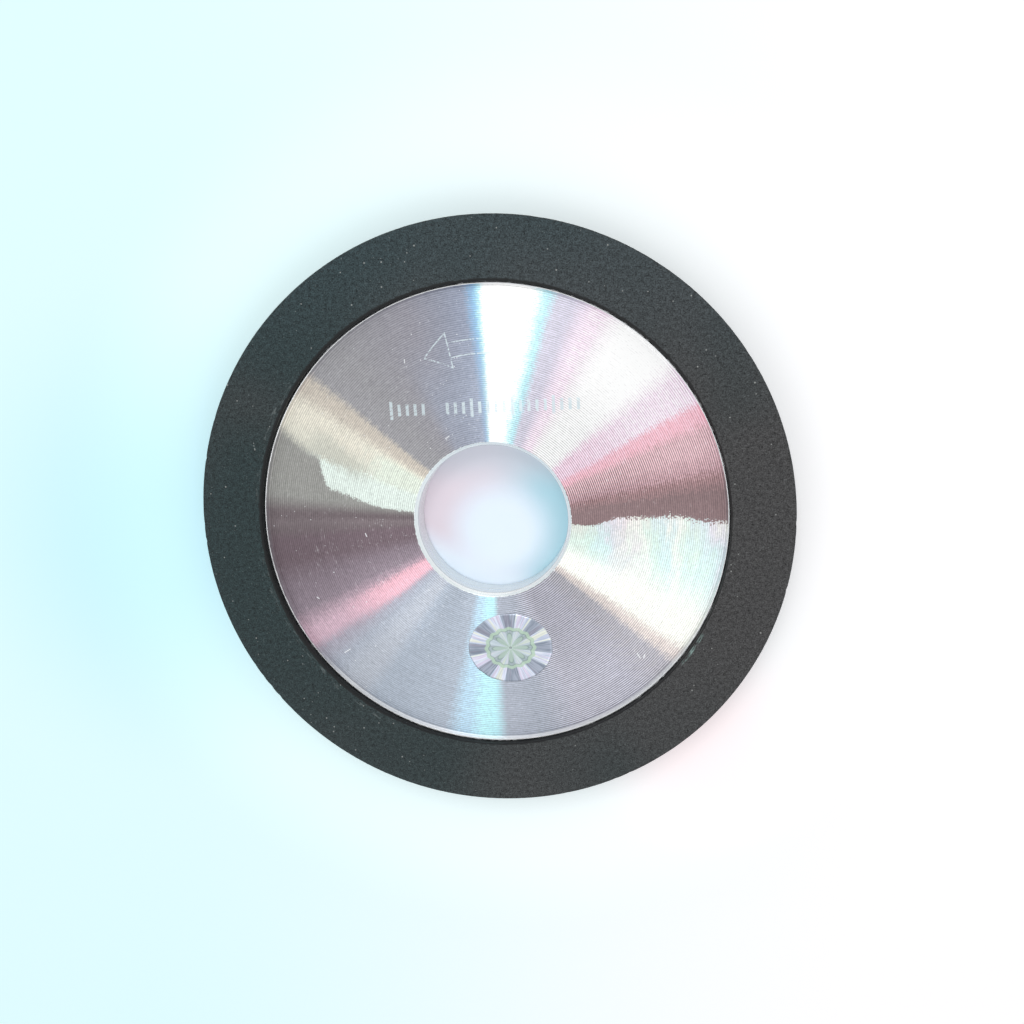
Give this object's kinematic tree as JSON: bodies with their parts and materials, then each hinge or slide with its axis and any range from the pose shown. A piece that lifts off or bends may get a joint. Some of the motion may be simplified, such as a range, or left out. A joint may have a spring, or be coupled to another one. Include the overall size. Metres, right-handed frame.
{
  "type": "grinding wheel",
  "caption": "Straight grinding wheel: a turned aluminium hub with a plain bore carries a moulded ring of dark abrasive, with an oval foil sticker on its recessed front face.",
  "frame": {"origin": "on the bore's axis in the plane of the wheel's back, on which it lies", "axes": "+Z along the bore's axis, out of the recessed front face; +Y away from the sticker; +X to the right when the front is seen with the sticker below the bore"},
  "size_m": [0.125, 0.125, 0.01],
  "materials": {
    "turned_aluminium": "satin",
    "resin_abrasive": "matte",
    "holographic_foil": "gloss"
  },
  "bodies": {
    "root": {"hub": "turned_aluminium", "abrasive_ring": "resin_abrasive", "foil_sticker": "holographic_foil"}
  },
  "joints": []
}
